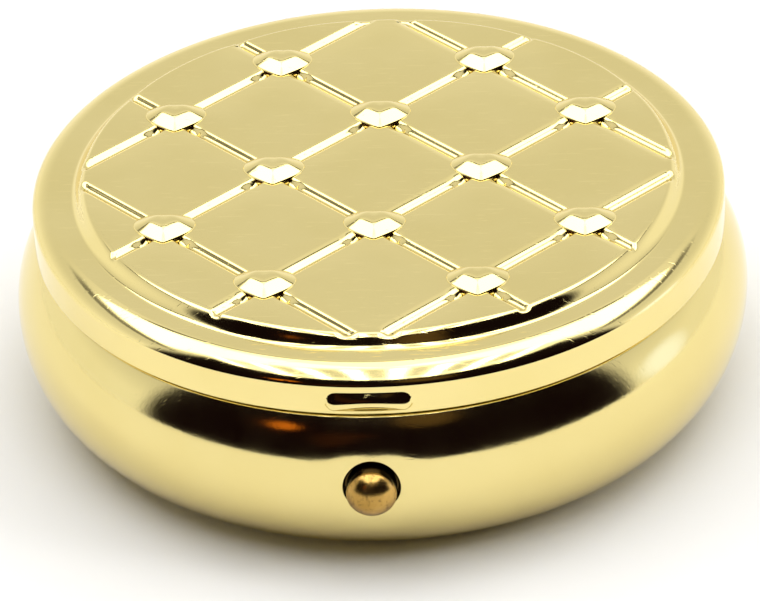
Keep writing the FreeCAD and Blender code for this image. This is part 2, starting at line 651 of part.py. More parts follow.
piece(cut("lid_solid", lid_full, lid_cuts), "lid_shell")

# -------------------------------------------------------------------- mirror
piece(cylinder("pad_disc", q("pad_radius"), q("mirror_top"), q("panel_underside")), "mirror_pad")
piece(cylinder("mirror_disc", q("mirror_radius"), q("mirror_bottom"), q("mirror_top")),
      "mirror_glass")
piece(turned("mirror_ring_body", [
    (q("ring_lip"), q("ring_bottom")),
    (q("ring_outer"), q("ring_bottom")),
    (q("ring_outer"), q("ring_top")),
    (q("ring_seat"), q("ring_top")),
    (q("ring_seat"), q("mirror_bottom")),
    (q("ring_lip"), q("mirror_bottom")),
]), "mirror_ring")

# --------------------------------------------------------------------- latch
rise = D["button_tip"] - D["button_edge"]
dome = (D["button_radius"] ** 2 + rise ** 2) / (2 * rise)
phi = math.asin(D["button_radius"] / dome) / 2.0
button = turned("button_body", [
    (q(0.0), q("peen_end")),
    (q("peen_radius"), q("peen_end")),
    (q("peen_radius"), q("shank_end")),
    (q("shank_radius"), q("shank_end")),
    (q("shank_radius"), q("flange_back")),
    (q("flange_radius"), q("flange_back")),
    (q("flange_radius"), q("flange_front")),
    (q("button_radius"), q("flange_front")),
    (q("button_radius"), q("button_edge")),
    ("arc", dome * math.sin(phi), D["button_tip"] - dome + dome * math.cos(phi)),
    (q(0.0), q("button_tip")),
])
button.Placement = FreeCAD.Placement(Vec(0, 0, D["button_axis_height"]),
                                     FreeCAD.Rotation(Vec(1, 0, 0), 90))
button.setExpression(".Placement.Base.z", "dims.button_axis_height")
piece(button, "push_button")

hook, hook_pad = padded("hook_body", "YZ_Plane", [
    (q(-23.25), q(5.9)),
    (q(-22.85), q(5.9)),
    (q(-22.85), q(8.95)),
    (q(-21.75), q(10.05)),
    (q(-21.75), q(13.6)),
    (q(-22.5), q(13.6)),
    (q(-23.3), q(13.1)),
    (q(-23.3), q(12.9)),
    (q(-22.15), q(12.9)),
    (q(-22.15), q(10.2)),
    (q(-23.25), q(9.1)),
], q("hook_half_width", "hook_half_width"))
piece(cut("hook_solid", hook, rod_front("hook_bore", q("hook_hole"), q(21.0), q(24.0), button_z)),
      "latch_hook")
piece(cut("washer_solid",
          rod_front("washer_disc", q("washer_radius"), q("shank_end"), q("shank_end", 0.3),
                    button_z),
          rod_front("washer_bore", q("hook_hole"), q(21.0), q(24.0), button_z)), "latch_washer")

bc = (D["bow_flat_half"], -(D["bow_front"] - 5.465))
end, mid = math.radians(61.66), math.radians(30.83)


def on_bow(radius, angle):
    return bc[0] + radius * math.sin(angle), bc[1] - radius * math.cos(angle)


ro, ri = 5.465, 5.465 - D["bow_thickness"]
oe, om, ie, im = on_bow(ro, end), on_bow(ro, mid), on_bow(ri, end), on_bow(ri, mid)
bow, bow_pad = padded("bow_body", "XY_Plane", [
    (q("-bow_flat_half"), q("-bow_front")),
    (q("bow_flat_half"), q("-bow_front")),
    ("arc", om[0], om[1]),
    (q("bow_flat_half", oe[0] - bc[0]), q(oe[1])),
    (q("bow_flat_half", ie[0] - bc[0]), q(ie[1])),
    ("arc", im[0], im[1]),
    (q("bow_flat_half"), q("-bow_front", "bow_thickness")),
    (q("-bow_flat_half"), q("-bow_front", "bow_thickness")),
    ("arc", -im[0], im[1]),
    (q("-bow_flat_half", bc[0] - ie[0]), q(ie[1])),
    (q("-bow_flat_half", bc[0] - oe[0]), q(oe[1])),
    ("arc", -om[0], om[1]),
], q("bow_height"), symmetric=False)
place(bow, z=q("bow_bottom"))
piece(cut("bow_solid", bow, rod_front("bow_bore", q("bow_hole"), q(22.0), q(24.5), button_z)),
      "latch_bow_spring")

# --------------------------------------------------------- check and export
doc.recompute()
bad = [o.Name for o in doc.Objects if "Invalid" in o.State or "Error" in o.State]
if bad:
    raise RuntimeError("failed objects: %s" % ", ".join(bad))
for o in SHOWN:
    shape = o.Shape
    if shape.isNull() or not shape.isValid() or not shape.Solids:
        raise RuntimeError("bad shape: " + o.Label)
    box = shape.BoundBox
    print("%-18s solids %d vol %9.3f  x %.2f..%.2f y %.2f..%.2f z %.2f..%.2f" % (
        o.Label, len(shape.Solids), shape.Volume, box.XMin, box.XMax, box.YMin, box.YMax,
        box.ZMin, box.ZMax))
os.makedirs("parts", exist_ok=True)
for o in SHOWN:
    o.Shape.exportStep("parts/%s.step" % o.Label)
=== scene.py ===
import math

import bpy
import numpy as np
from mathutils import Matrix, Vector


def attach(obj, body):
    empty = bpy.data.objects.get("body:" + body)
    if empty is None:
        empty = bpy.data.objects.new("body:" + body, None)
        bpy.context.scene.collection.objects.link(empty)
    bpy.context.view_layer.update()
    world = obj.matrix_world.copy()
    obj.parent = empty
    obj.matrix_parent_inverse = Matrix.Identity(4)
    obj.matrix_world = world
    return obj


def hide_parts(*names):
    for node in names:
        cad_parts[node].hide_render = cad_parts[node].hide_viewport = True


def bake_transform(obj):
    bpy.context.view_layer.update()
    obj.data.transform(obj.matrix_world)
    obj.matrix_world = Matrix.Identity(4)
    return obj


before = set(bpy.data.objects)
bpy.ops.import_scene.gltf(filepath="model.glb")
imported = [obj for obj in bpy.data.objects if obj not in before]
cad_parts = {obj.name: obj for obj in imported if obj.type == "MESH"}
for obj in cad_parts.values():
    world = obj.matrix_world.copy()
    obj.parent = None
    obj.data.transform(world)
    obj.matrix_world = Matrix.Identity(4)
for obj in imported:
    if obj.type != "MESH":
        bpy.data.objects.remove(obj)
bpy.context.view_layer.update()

scene = bpy.context.scene
MM = 0.001
rng = np.random.default_rng(11)


# ------------------------------------------------------------------ helpers
def add_object(name, verts, faces, smooth=True):
    """A mesh object from millimetre vertices."""
    mesh = bpy.data.meshes.new(name)
    mesh.from_pydata([tuple(v) for v in (np.asarray(verts, float) * MM)], [], faces)
    mesh.validate()
    mesh.update()
    if smooth:
        mesh.shade_smooth()
    ob = bpy.data.objects.new(name, mesh)
    scene.collection.objects.link(ob)
    return ob


def dress(ob, material):
    ob.data.materials.clear()
    ob.data.materials.append(material)


def bridge(first, second, closed=True):
    """Quads between two rings of vertex numbers."""
    n = len(first)
    last = n if closed else n - 1
    return [(first[i], first[(i + 1) % n], second[(i + 1) % n], second[i]) for i in range(last)]


def arc(cx, cy, r, a0, a1, steps, both=True):
    """Points on an arc in degrees; without its first point when both is False."""
    ks = range(0 if both else 1, steps + 1)
    return [(cx + r * math.cos(math.radians(a0 + (a1 - a0) * k / steps)),
             cy + r * math.sin(math.radians(a0 + (a1 - a0) * k / steps))) for k in ks]


def revolve(name, profile, segments, axis="Z", centre=(0, 0, 0), close=False):
    """Turn an open (radius, height) profile, with poles where the radius is 0.
    axis "F" points the height along -Y."""
    verts, rings = [], []
    for r, h in profile:
        if r < 1e-6:
            rings.append([len(verts)])
            verts.append((0.0, 0.0, h))
        else:
            ring = []
            for k in range(segments):
                t = 2 * math.pi * k / segments
                ring.append(len(verts))
                verts.append((r * math.cos(t), r * math.sin(t), h))
            rings.append(ring)
    faces = []
    pairs = list(zip(rings, rings[1:]))
    if close:
        pairs.append((rings[-1], rings[0]))
    for a, b in pairs:
        if len(a) == 1 and len(b) == 1:
            continue
        if len(a) == 1:
            faces += [(a[0], b[(k + 1) % segments], b[k]) for k in range(segments)]
        elif len(b) == 1:
            faces += [(a[k], a[(k + 1) % segments], b[0]) for k in range(segments)]
        else:
            faces += bridge(a, b)
    v = np.array(verts)
    if axis == "F":
        v = np.stack([v[:, 0], -v[:, 2], v[:, 1]], axis=1)
    if axis == "X":
        v = np.stack([v[:, 2], v[:, 1], -v[:, 0]], axis=1)
    v = v + np.array(centre)
    ob = add_object(name, v, faces)
    fix_normals(ob)
    return ob


def fix_normals(ob):
    import bmesh

    bm = bmesh.new()
    bm.from_mesh(ob.data)
    bmesh.ops.recalc_face_normals(bm, faces=bm.faces)
    bm.to_mesh(ob.data)
    bm.free()
    ob.data.update()


def tube(name, points, radius, sides=14, caps=True):
    """A round wire through millimetre points."""
    pts = np.asarray(points, float)
    n = len(pts)
    tang = np.gradient(pts, axis=0)
    tang /= np.linalg.norm(tang, axis=1)[:, None]
    ref = np.array([0.0, 0.0, 1.0]) if abs(tang[0][2]) < 0.9 else np.array([1.0, 0, 0])
    u = np.cross(tang[0], ref)
    u /= np.linalg.norm(u)
    verts, rings = [], []
    for i in range(n):
        u = u - tang[i] * np.dot(u, tang[i])
        u /= np.linalg.norm(u)
        w = np.cross(tang[i], u)
        ring = []
        for k in range(sides):
            t = 2 * math.pi * k / sides
            ring.append(len(verts))
            verts.append(pts[i] + radius * (math.cos(t) * u + math.sin(t) * w))
        rings.append(ring)
    faces = []
    for a, b in zip(rings, rings[1:]):
        faces += bridge(a, b)
    if caps:
        faces.append(tuple(reversed(rings[0])))
        faces.append(tuple(rings[-1]))
    ob = add_object(name, verts, faces)
    fix_normals(ob)
    return ob


def smooth_path(points, per=8):
    """A Catmull-Rom line through the points."""
    p = np.asarray(points, float)
    p = np.vstack([2 * p[0] - p[1], p, 2 * p[-1] - p[-2]])
    out = []
    for i in range(1, len(p) - 2):
        for k in range(per):
            t = k / per
            out.append(0.5 * ((2 * p[i]) + (-p[i - 1] + p[i + 1]) * t
                              + (2 * p[i - 1] - 5 * p[i] + 4 * p[i + 1] - p[i + 2]) * t * t
                              + (-p[i - 1] + 3 * p[i] - 3 * p[i + 1] + p[i + 2]) * t ** 3))
    out.append(p[-2])
    return np.array(out)


# ---------------------------------------------------------------- materials
class Nodes:
    def __init__(self, tree):
        self.tree = tree

    def new(self, kind, **values):
        node = self.tree.nodes.new(kind)
        for k, v in values.items():
            if hasattr(node, k):
                setattr(node, k, v)
            else:
                node.inputs[k.replace("_", " ")].default_value = v
        return node

    def link(self, a, b):
        self.tree.links.new(a, b)

    def math(self, op, a, b=None, c=None, clamp=False):
        node = self.tree.nodes.new("ShaderNodeMath")
        node.operation = op
        node.use_clamp = clamp
        for socket, value in zip(node.inputs, (a, b, c)):
            if value is None:
                continue
            if isinstance(value, (int, float)):
                socket.default_value = value
            else:
                self.link(value, socket)
        return node.outputs[0]

    def ramp(self, value, low, high, to_low=0.0, to_high=1.0, smooth=True):
        node = self.tree.nodes.new("ShaderNodeMapRange")
        node.interpolation_type = "SMOOTHSTEP" if smooth else "LINEAR"
        node.clamp = True
        self.link(value, node.inputs["Value"])
        node.inputs["From Min"].default_value = low
        node.inputs["From Max"].default_value = high
        node.inputs["To Min"].default_value = to_low
        node.inputs["To Max"].default_value = to_high
        return node.outputs["Result"]


def metal(name, dark, light, rough, rough_span, scale=420.0, scratch=0.0, grain=0.0, dirt=None,
          dirt_amount=0.0, hole_shade=None):
    """Plated metal: slow colour drift, patchy roughness, faint wiping marks."""
    mat = bpy.data.materials.new(name)
    mat.use_nodes = True
    tree = mat.node_tree
    n = Nodes(tree)
    shader = tree.nodes["Principled BSDF"]
    shader.inputs["Metallic"].default_value = 1.0
    coord = n.new("ShaderNodeTexCoord")
    slow = n.new("ShaderNodeTexNoise", Scale=scale * 0.25, Detail=3.0, Roughness=0.55)
    n.link(coord.outputs["Object"], slow.inputs["Vector"])
    mix = n.new("ShaderNodeMix", data_type="RGBA")
    n.link(n.ramp(slow.outputs["Fac"], 0.3, 0.7), mix.inputs["Factor"])
    mix.inputs["A"].default_value = (*dark, 1)
    mix.inputs["B"].default_value = (*light, 1)
    colour = mix.outputs["Result"]
    if dirt is not None:
        spots = n.new("ShaderNodeTexNoise", Scale=scale * 2.2, Detail=5.0, Roughness=0.7)
        n.link(coord.outputs["Object"], spots.inputs["Vector"])
        over = n.new("ShaderNodeMix", data_type="RGBA")
        n.link(n.math("MULTIPLY", n.ramp(spots.outputs["Fac"], 0.5, 0.68), dirt_amount),
               over.inputs["Factor"])
        n.link(colour, over.inputs["A"])
        over.inputs["B"].default_value = (*dirt, 1)
        colour = over.outputs["Result"]
    if hole_shade is not None:
        # painted shade where the button runs in its hole: darkened by distance from its axis
        # and by depth along it
        near, far, front, behind, shade = hole_shade
        sep = n.new("ShaderNodeSeparateXYZ")
        n.link(coord.outputs["Object"], sep.inputs["Vector"])
        px, py, pz = sep.outputs
        up = n.math("SUBTRACT", pz, 0.00725)
        rho = n.math("SQRT", n.math("ADD", n.math("MULTIPLY", px, px), n.math("MULTIPLY", up, up)))
        where = n.math("MULTIPLY", n.ramp(rho, near, far, 1.0, 0.0), n.ramp(py, front, behind))
        where = n.math("MULTIPLY", where, n.ramp(py, -0.015, -0.020))
        over = n.new("ShaderNodeMix", data_type="RGBA")
        n.link(where, over.inputs["Factor"])
        n.link(colour, over.inputs["A"])
        over.inputs["B"].default_value = (*shade, 1)
        colour = over.outputs["Result"]
    n.link(colour, shader.inputs["Base Color"])
    fine = n.new("ShaderNodeTexNoise", Scale=scale, Detail=4.0, Roughness=0.6)
    n.link(coord.outputs["Object"], fine.inputs["Vector"])
    n.link(n.ramp(fine.outputs["Fac"], 0.25, 0.75, rough, rough + rough_span),
           shader.inputs["Roughness"])
    height = None
    if grain:
        micro = n.new("ShaderNodeTexNoise", Scale=scale * 9.0, Detail=2.0, Roughness=0.5)
        n.link(coord.outputs["Object"], micro.inputs["Vector"])
        height = n.math("MULTIPLY", micro.outputs["Fac"], grain)
    if scratch:
        turn = n.new("ShaderNodeMapping")
        turn.inputs["Rotation"].default_value = (0.0, 0.0, 0.6)
        turn.inputs["Scale"].default_value = (1.0, 14.0, 6.0)
        n.link(coord.outputs["Object"], turn.inputs["Vector"])
        lines = n.new("ShaderNodeTexNoise", Scale=scale * 0.9, Detail=2.0, Roughness=0.5)
        n.link(turn.outputs["Vector"], lines.inputs["Vector"])
        mark = n.math("MULTIPLY", n.ramp(lines.outputs["Fac"], 0.62, 0.72), -scratch)
        height = mark if height is None else n.math("ADD", height, mark)
    if height is not None:
        bump = n.new("ShaderNodeBump", Strength=1.0, Distance=0.00001)
        n.link(height, bump.inputs["Height"])
        n.link(bump.outputs["Normal"], shader.inputs["Normal"])
    return mat


gold = metal("gold_plate", (0.85, 0.705, 0.290), (0.88, 0.735, 0.318), 0.065, 0.035,
             scratch=0.25, grain=0.10)
# painted shade: the lid's gold scaled about 8 % darker for the belly, plus painted shade darkening the hole
# round the button
gold_belly_shaded = metal("gold_plate_belly_shaded", (0.786, 0.651, 0.268), (0.814, 0.681, 0.293), 0.085, 0.045,
                   scratch=0.12, grain=0.22,
                   hole_shade=(0.00176, 0.00198, -0.0300, -0.0290, (0.05, 0.032, 0.010)))
gold_satin = metal("gold_plate_inner", (0.74, 0.585, 0.26), (0.80, 0.655, 0.31), 0.22, 0.10,
                   scratch=0.5, grain=0.6)
# the button's own brass with real dirt spots, plus painted shade darkening the part sunk in the hole
bronze = metal("button_brass", (0.40, 0.235, 0.055), (0.60, 0.37, 0.10), 0.17, 0.10, scale=1500.0,
               grain=0.4, dirt=(0.10, 0.06, 0.02), dirt_amount=0.6,
               hole_shade=(0.0030, 0.0040, -0.02578, -0.02535, (0.035, 0.020, 0.006)))
steel = metal("spring_steel", (0.52, 0.51, 0.49), (0.66, 0.65, 0.62), 0.20, 0.12, scratch=0.6,
              grain=0.4)


def plastic(name, dark, light, rough, bump_height=0.4):
    """Moulded plastic: a soft orange-peel surface and a slight colour drift."""
    mat = bpy.data.materials.new(name)
    mat.use_nodes = True
    n = Nodes(mat.node_tree)
    shader = mat.node_tree.nodes["Principled BSDF"]
    coord = n.new("ShaderNodeTexCoord")
    slow = n.new("ShaderNodeTexNoise", Scale=90.0, Detail=3.0, Roughness=0.5)
    n.link(coord.outputs["Object"], slow.inputs["Vector"])
    mix = n.new("ShaderNodeMix", data_type="RGBA")
    n.link(slow.outputs["Fac"], mix.inputs["Factor"])
    mix.inputs["A"].default_value = (*dark, 1)
    mix.inputs["B"].default_value = (*light, 1)
    n.link(mix.outputs["Result"], shader.inputs["Base Color"])
    n.link(n.ramp(slow.outputs["Fac"], 0.3, 0.7, rough, rough + 0.08), shader.inputs["Roughness"])
    peel = n.new("ShaderNodeTexNoise", Scale=2400.0, Detail=2.0, Roughness=0.5)
    n.link(coord.outputs["Object"], peel.inputs["Vector"])
    bump = n.new("ShaderNodeBump", Strength=0.5, Distance=0.00001 * bump_height)
    n.link(peel.outputs["Fac"], bump.inputs["Height"])
    n.link(bump.outputs["Normal"], shader.inputs["Normal"])
    shader.inputs["Subsurface Weight"].default_value = 0.0
    shader.inputs["IOR"].default_value = 1.49
    return mat


tray_mat = plastic("tray_plastic", (0.80, 0.785, 0.74), (0.86, 0.85, 0.81), 0.28)
foam_mat = plastic("pad_foam", (0.035, 0.035, 0.035), (0.06, 0.06, 0.06), 0.85, 2.0)

mirror_mat = bpy.data.materials.new("mirror")
mirror_mat.use_nodes = True
_n = Nodes(mirror_mat.node_tree)
_s = mirror_mat.node_tree.nodes["Principled BSDF"]
_s.inputs["Metallic"].default_value = 1.0
_s.inputs["Base Color"].default_value = (0.90, 0.915, 0.91, 1)
_c = _n.new("ShaderNodeTexCoord")
_f = _n.new("ShaderNodeTexNoise", Scale=120.0, Detail=4.0, Roughness=0.6)
_n.link(_c.outputs["Object"], _f.inputs["Vector"])
_n.link(_n.ramp(_f.outputs["Fac"], 0.45, 0.8, 0.015, 0.05), _s.inputs["Roughness"])

# ----------------------------------------------------------------- lid shell
PITCH = 7.058
STEP = PITCH * math.sqrt(2.0)
HEARTS = [(0, -1), (0, 1), (-1, 0), (1, 0), (-1, -2), (-1, 2), (1, -2), (1, 2),
          (-2, -1), (-2, 1), (2, -1), (2, 1)]


def vee(d):
    """A rounded section across a groove: 1 at its bottom, 0 outside."""
    return 0.5 * (1 + np.cos(math.pi * np.clip(d / 0.52, 0, 1)))


def groove_part(x, y):
    """How much each point lies in a quilting groove, 0 to 1, and the distances."""
    u, v = (x + y) / math.sqrt(2.0), (x - y) / math.sqrt(2.0)
    du = np.abs(np.mod(u / STEP, 1.0) - 0.5) * STEP
    dv = np.abs(np.mod(v / STEP, 1.0) - 0.5) * STEP
    return np.maximum(vee(du), vee(dv)), du, dv


def panel_height(x, y):
    """Height of the quilted panel over its flat level."""
    e, du, dv = groove_part(x, y)
    puff = (1 - np.exp(-(du / 1.5) ** 1.6)) * (1 - np.exp(-(dv / 1.5) ** 1.6))
    z = 0.09 * puff - 0.05 - 0.30 * e
    for i, j in HEARTS:
        for side in (-1, 1):
            d2 = (x - i * PITCH - side * 1.42) ** 2 + (y - j * PITCH + 1.36) ** 2
            z = z - 0.20 * np.exp(-d2 / 0.38 ** 2)
    return z


def build_lid():
    flat_r, top = 19.70, 16.28
    # panel grid turned 45 degrees, close-spaced along the grooves
    line, c = [], -flat_r - 0.2
    while c < flat_r + 0.2:
        line.append(c)
        off = abs((c / STEP) % 1.0 - 0.5) * STEP
        c += 0.075 if off < 0.62 else 0.31
    line.append(c)
    line = np.array(line)
    n = len(line)
    gu, gv = np.meshgrid(line, line, indexing="ij")
    x, y = (gu + gv) / math.sqrt(2.0), (gu - gv) / math.sqrt(2.0)
    r = np.hypot(x, y)
    inside = r < flat_r
    pull = np.where(inside, 1.0, flat_r / np.maximum(r, 1e-6))
    x, y = x * pull, y * pull
    z = top + panel_height(x, y)
    keep = inside[:-1, :-1] | inside[1:, :-1] | inside[1:, 1:] | inside[:-1, 1:]
    idx = np.arange(n * n).reshape(n, n)
    quads = np.stack([idx[:-1, :-1][keep], idx[1:, :-1][keep], idx[1:, 1:][keep],
                      idx[:-1, 1:][keep]], axis=1)
    used = np.unique(quads)
    renum = -np.ones(n * n, int)
    renum[used] = np.arange(len(used))
    verts = [np.stack([x.ravel()[used], y.ravel()[used], z.ravel()[used]], axis=1)]
    faces = [tuple(f) for f in renum[quads].tolist()]
    count = len(used)
    rings = []
    # spokes: even, and closer where a groove runs out, at the bead and the notch
    spokes = set(np.round(np.arange(0, 360, 0.75), 4))
    for k in (-1.5, -0.5, 0.5, 1.5):
        for sign in (-1, 1):
            w = math.sqrt(20.2 ** 2 - (k * STEP) ** 2) * sign
            for gx, gy in ((k * STEP + w, k * STEP - w), (k * STEP + w, w - k * STEP)):
                mid = math.degrees(math.atan2(gy, gx)) % 360
                spokes |= set(np.round((mid + np.arange(-2.2, 2.21, 0.12)) % 360, 4))
    spokes |= set(np.round(270 + np.arange(-8, 8.01, 0.25), 4))
    notch = math.degrees(math.asin(5.3 / 23.3))
    for side in (90 - notch, 90 + notch):
        spokes |= {round(side - 0.04, 4), round(side + 0.04, 4)}
    spokes = np.array(sorted(spokes))
    spokes = spokes[np.concatenate([[True], np.diff(spokes) > 0.03])]
    ang = np.radians(spokes)
    m = len(ang)
    ct, st = np.cos(ang), np.sin(ang)

    def ring(rad, height):
        nonlocal count
        rad = np.broadcast_to(rad, m)
        height = np.broadcast_to(height, m)
        verts.append(np.stack([rad * ct, rad * st, height], axis=1))
        rings.append(list(range(count, count + m)))
        count += m

    # side of the panel, notched where the grooves run out
    ring(19.66, top + panel_height(19.66 * ct, 19.66 * st) - 0.004)
    ring(19.73, top + panel_height(19.73 * ct, 19.73 * st))
    ring(19.80, top + panel_height(19.80 * ct, 19.80 * st))
    for k in range(0, 19):
        s = k / 18.0
        rad = 19.85 + 1.05 * s
        run, _, _ = groove_part(19.85 * ct, 19.85 * st)
        crest = top + panel_height(19.85 * ct, 19.85 * st) - 15.40 + 0.30 * run * min(1.0, s / 0.4)
        ring(rad, 15.40 + crest * (1 + math.cos(math.pi * s)) / 2)
    ring(21.3, 15.40)
    ring(21.7, 15.40)
    # the rim's corner is rolled softer at the front than at the hinge
    soft = np.clip((0.25 - st) / 1.0, 0, 1)
    soft = soft * soft * (3 - 2 * soft)
    power = 2.0 - 0.6 * soft
    for k in range(0, 31):
        x = math.sin(math.pi / 2 * k / 30) ** 1.15
        drop = np.power(np.maximum(0.0, 1 - x ** power), 1 / power)
        wide, deep = 1.2 + 0.25 * soft, 0.60 + 0.50 * soft
        ring(23.54 - wide * (1 - x), 15.40 - deep * (1 - drop))

    # wall with the pressed bead, notched at the hinge
    low = np.where((st > 0) & (np.abs(23.3 * ct) < 5.3), 13.25, 12.16)

    def lower(height):
        return 14.30 - (14.30 - height) * (14.30 - low) / (14.30 - 12.16)

    front = st < 0

    def bead(height):
        bx = np.abs(23.5 * ct)
        over = np.clip((bx - 2.15) / 0.70, 0, 1)
        half = 0.70 * np.sqrt(np.clip(1 - over ** 2, 0, 1))
        s = (13.18 + half - height) / np.maximum(2 * half, 1e-6)
        sa = 0.51 + 0.27 * np.clip(bx / 2.3, 0, 1) ** 2
        rise = np.sin(math.pi / 2 * np.clip(s / sa, 0, 1))
        fall = np.cos(math.pi / 2 * np.clip((s - sa) / (1 - sa), 0, 1))
        b = 0.41 * np.where(s < sa, rise, fall) * (half / 0.70)
        return np.where(front & (s > 0) & (s < 1) & (bx < 2.85), b, 0.0)

    for h in [14.15, 14.02] + list(np.linspace(13.93, 12.44, 30)) + [12.36, 12.29]:
        hh = lower(h)
        ring(23.54 + bead(hh), hh)
    ring(23.52, lower(12.22))
    ring(23.45, lower(12.17))
    ring(23.32, lower(12.16))
    ring(23.17, lower(12.17))
    ring(23.10, lower(12.23))
    for h in (12.70, 12.78, 13.2, 13.62, 13.70, 14.54):
        hh = lower(h)
        deep = front & (np.abs(23.3 * ct) < 2.3) & (hh > 12.75) & (hh < 13.65)
        ring(np.where(deep, 23.42, 23.09), hh)
    for rad, h in arc(22.69, 14.55, 0.40, 0, 90, 4, both=False):
        ring(rad, h)
    ring(20.12, 14.95)
    ring(20.08, 15.00)
    ring(20.08, 15.60)
    ring(12.0, 15.60)
    ring(4.0, 15.60)
    for a_ring, b_ring in zip(rings, rings[1:]):
        faces.extend(bridge(a_ring, b_ring))
    verts.append(np.array([[0.0, 0.0, 15.60]]))
    last = rings[-1]
    faces.extend([(last[k], last[(k + 1) % m], count) for k in range(m)])
    ob = add_object("lid_cap", np.concatenate(verts), faces)
    fix_normals(ob)
    return ob


lid = build_lid()
dress(lid, gold)
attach(lid, "lid")
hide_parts("lid_shell")


def build_hearts():
    verts, faces = [], []
    n = 128
    t = np.linspace(-math.pi, math.pi, n, endpoint=False) + math.pi / n
    hx = 16 * np.sin(t) ** 3 * 0.1315
    hy = (13 * np.cos(t) - 5 * np.cos(2 * t) - 2 * np.cos(3 * t) - np.cos(4 * t)) * 0.1175 + 0.14
    hy = hy + 0.56 * np.exp(-(t / 0.5) ** 2)
    hy = np.where(hy > 0.1, 0.1 + (hy - 0.1) * 1.22, hy)
    cx, cy = 0.0, 0.10
    steps = [0.07, 0.14, 0.20, 0.26, 0.31, 0.35, 0.39, 0.42, 0.45, 0.48, 0.51, 0.54, 0.58, 0.63,
             0.69, 0.75, 0.81, 0.87, 0.92, 0.965, 1.0]

    ex = 2.08 * np.sin(t)
    ey = np.where(np.cos(t) > 0, 1.70, 1.72) * np.cos(t) + cy

    def outline(f):
        """Rounded inside, heart-shaped at the foot."""
        w = 0.45
        return (cx + f * ((1 - w) * (hx - cx) + w * (ex - cx)),
                cy + f * ((1 - w) * (hy - cy) + w * (ey - cy)))

    def knee(f):
        """Flat on top, then an even slope down to the foot."""
        return 0.5 * ((f - 0.45) + math.sqrt((f - 0.45) ** 2 + 0.13 ** 2))

    def crown(px, py, f):
        dent = 0.03 * np.exp(-(px / 0.30) ** 2) * np.clip((py - 0.15) / 0.7, 0, 1)
        fall = (knee(f) - knee(0.0)) / (knee(1.0) - knee(0.0))
        return 16.29 + 0.62 * (1 - fall) - dent * (1 - f)

    for i, j in HEARTS:
        base = len(verts)
        for lv in range(len(steps) + 1):
            if lv == 0:
                px, py = outline(1.0)
                hh = np.full(n, 15.85)
            else:
                f = steps[len(steps) - lv]
                px, py = outline(f)
                hh = crown(px, py, f)
            for k in range(n):
                verts.append((i * PITCH + px[k], j * PITCH + py[k] + 0.12, hh[k]))
        levels = [0] * (len(steps) + 1)
        for lv in range(len(levels) - 1):
            a = [base + lv * n + k for k in range(n)]
            b = [base + (lv + 1) * n + k for k in range(n)]
            faces += bridge(a, b)
        top = base + (len(levels) - 1) * n
        verts.append((i * PITCH + cx, j * PITCH + cy + 0.12, float(crown(np.array(cx), np.array(cy), 0.0))))
        c = len(verts) - 1
        faces += [(top + k, top + (k + 1) % n, c) for k in range(n)]
        faces.append(tuple(base + k for k in reversed(range(n))))
    ob = add_object("lid_heart_studs", verts, faces)
    fix_normals(ob)
    return ob


hearts = build_hearts()
dress(hearts, gold)
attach(hearts, "lid")


# ---------------------------------------------------------------- base shell
def belly_r(z):
    z = np.asarray(z, float)
    low = 18.9 + 6.1 * np.sqrt(np.clip(1 - ((7.25 - z) / 7.25) ** 2, 0, 1))
    high = 18.16 + np.sqrt(np.clip(6.84 ** 2 - (z - 7.25) ** 2, 0, None))
    return np.where(z < 7.25, low, high)


